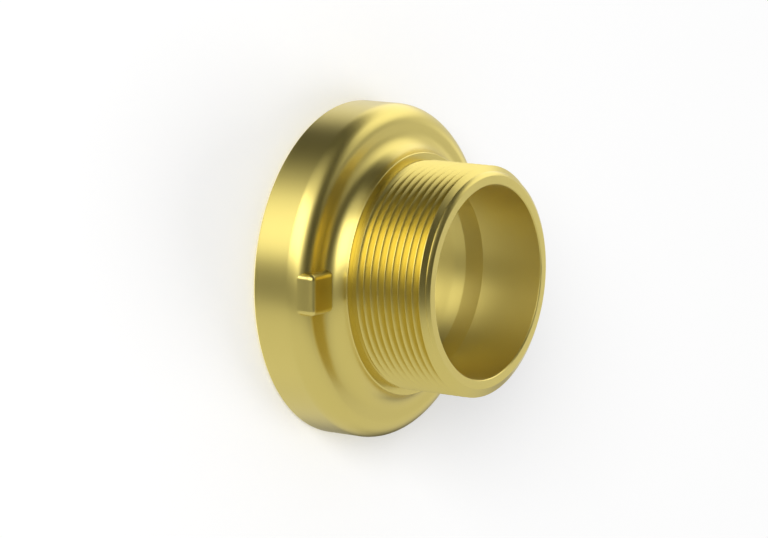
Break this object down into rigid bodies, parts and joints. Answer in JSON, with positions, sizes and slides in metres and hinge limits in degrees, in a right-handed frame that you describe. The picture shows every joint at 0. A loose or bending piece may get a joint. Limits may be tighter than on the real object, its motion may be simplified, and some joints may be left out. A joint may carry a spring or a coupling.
{
  "type": "pressure hose coupling",
  "caption": "Brass pressure hose coupling half: a round flange with stop lugs on its back, a short hub, a male pipe-threaded end, a stepped waterway and a rubber sealing ring.",
  "frame": {"origin": "centre of the sealing face, the flat front face of the flange that the coupling rests on", "axes": "+Z along the waterway towards the threaded end; -X through the stop lug that the picture shows"},
  "size_m": [0.0962, 0.0962, 0.0474],
  "materials": {
    "body_brass": "satin, fine turned and bead-blasted brass",
    "seal_rubber": "matt black moulded rubber"
  },
  "bodies": {
    "root": {"coupling_body": "body_brass", "sealing_ring": "seal_rubber"}
  },
  "joints": []
}
